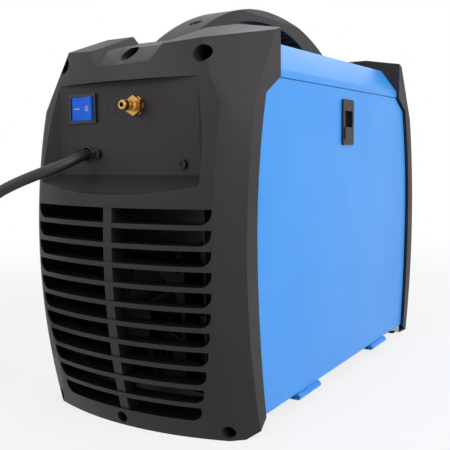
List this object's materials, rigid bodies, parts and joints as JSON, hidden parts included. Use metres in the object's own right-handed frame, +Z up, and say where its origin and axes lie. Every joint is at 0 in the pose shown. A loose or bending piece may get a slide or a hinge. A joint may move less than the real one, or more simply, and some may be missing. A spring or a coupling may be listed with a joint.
{
  "type": "welding power source",
  "caption": "Portable inverter welding power source: ribbed black end panels, blue sheet housing, arched handle, hinged side door, wire feeder and coiled mains lead.",
  "frame": {"origin": "middle of the case's footprint, on the floor it stands on", "axes": "+Z up, +Y out of the rear panel (switch, gas inlet and mains lead), -X out of the hinged side door"},
  "size_m": [0.4585, 0.5567, 0.39],
  "materials": {
    "case_black": "fine moulded grain",
    "sheet_blue": "satin powder coat",
    "sheet_zinc": "zinc plated sheet",
    "screw_steel": "black oxide",
    "part_black": "moulded",
    "rocker_blue": "gloss",
    "rubber_black": "matte",
    "brass": "turned",
    "sink_alu": "extruded",
    "board_green": "solder mask",
    "copper": "enamelled winding",
    "can_blue": "sleeved can",
    "steel": "machined",
    "motor_grey": "satin",
    "retainer_red": "moulded",
    "window_dark": "smoked",
    "tie_white": "moulded strap"
  },
  "bodies": {
    "case": {"base_tray": "sheet_zinc", "divider_panel": "sheet_zinc", "cover": "sheet_blue", "rear_panel": "case_black", "front_panel": "case_black", "handle": "case_black", "handle_screws": "screw_steel", "rear_panel_screws": "screw_steel", "front_panel_screws": "screw_steel", "mains_switch_body": "part_black", "cable_grommet": "rubber_black", "cable_clamp": "sheet_zinc", "clamp_screws": "screw_steel", "gas_inlet_barb": "brass", "gas_inlet_nut": "brass", "gas_valve": "motor_grey", "gas_hose": "rubber_black", "fan_frame": "part_black", "heatsink": "sink_alu", "power_board": "board_green", "transformer": "copper", "capacitors": "can_blue", "output_choke": "copper", "hinge_brackets": "sheet_blue", "hinge_pins": "steel", "feeder_body": "part_black", "feed_motor": "motor_grey", "wire_guides": "brass", "spool_spindle": "steel", "torch_socket": "brass", "output_sockets": "part_black", "socket_contacts": "brass", "control_fascia": "part_black", "display_window": "window_dark", "control_board": "board_green", "mains_lead": "rubber_black", "lead_coil": "rubber_black", "lead_tie": "tie_white", "plug_body": "rubber_black", "plug_pins": "brass"},
    "door": {"side_door": "sheet_blue", "door_knuckles": "sheet_blue", "latch_plate": "part_black"},
    "latch": {"latch_slider": "part_black"},
    "rocker": {"switch_rocker": "rocker_blue"},
    "fan": {"fan_rotor": "part_black"},
    "feed_roll": {"drive_roller": "steel", "roller_screw": "part_black"},
    "arm": {"pressure_arm": "part_black", "idler_axle": "steel", "tension_knob": "part_black"},
    "idler": {"idler_roller": "steel"},
    "hub": {"spool_hub": "part_black", "hub_retainer": "retainer_red"},
    "dial_left": {"knob_left": "part_black"},
    "dial_right": {"knob_right": "part_black"},
    "key_left": {"button_left": "part_black"},
    "key_middle": {"button_middle": "part_black"},
    "key_right": {"button_right": "part_black"}
  },
  "joints": [
    {"name": "door_hinge", "type": "hinge", "parent": "case", "child": "door", "pos_m": [-0.1124, 0, 0.012], "axis": [0, -1, 0], "range_deg": [0, 90]},
    {"name": "latch_slide", "type": "slide", "parent": "door", "child": "latch", "axis": [0, 0, -1], "range_m": [0, 0.007], "stiffness_N_per_m": 300, "springref_m": -0.006},
    {"name": "mains_rocker", "type": "hinge", "parent": "case", "child": "rocker", "pos_m": [0.0483, 0.215, 0.278], "axis": [0, 0, 1], "range_deg": [0, 14]},
    {"name": "fan_spin", "type": "hinge", "parent": "case", "child": "fan", "pos_m": [0.038, 0.155, 0.077], "axis": [0, 1, 0], "continuous": true},
    {"name": "feed_spin", "type": "hinge", "parent": "case", "child": "feed_roll", "pos_m": [-0.074, -0.103, 0.0996], "axis": [1, 0, 0], "continuous": true},
    {"name": "arm_lift", "type": "hinge", "parent": "case", "child": "arm", "pos_m": [-0.074, -0.068, 0.1384], "axis": [-1, 0, 0], "range_deg": [0, 60]},
    {"name": "idler_spin", "type": "hinge", "parent": "arm", "child": "idler", "pos_m": [-0.074, -0.103, 0.1304], "axis": [1, 0, 0], "continuous": true},
    {"name": "hub_spin", "type": "hinge", "parent": "case", "child": "hub", "pos_m": [-0.07, 0.062, 0.168], "axis": [1, 0, 0], "continuous": true},
    {"name": "dial_left_turn", "type": "hinge", "parent": "case", "child": "dial_left", "pos_m": [-0.042, -0.226, 0.24], "axis": [0, 1, 0], "range_deg": [-150, 150]},
    {"name": "dial_right_turn", "type": "hinge", "parent": "case", "child": "dial_right", "pos_m": [0.042, -0.226, 0.24], "axis": [0, 1, 0], "range_deg": [-150, 150]},
    {"name": "key_left_press", "type": "slide", "parent": "case", "child": "key_left", "axis": [0, 1, 0], "range_m": [0, 0.0015], "stiffness_N_per_m": 400, "springref_m": -0.001},
    {"name": "key_middle_press", "type": "slide", "parent": "case", "child": "key_middle", "axis": [0, 1, 0], "range_m": [0, 0.0015], "stiffness_N_per_m": 400, "springref_m": -0.001},
    {"name": "key_right_press", "type": "slide", "parent": "case", "child": "key_right", "axis": [0, 1, 0], "range_m": [0, 0.0015], "stiffness_N_per_m": 400, "springref_m": -0.001}
  ],
  "couplings": [
    {"joint": "idler_spin", "follows": "feed_spin", "ratio": -1}
  ]
}
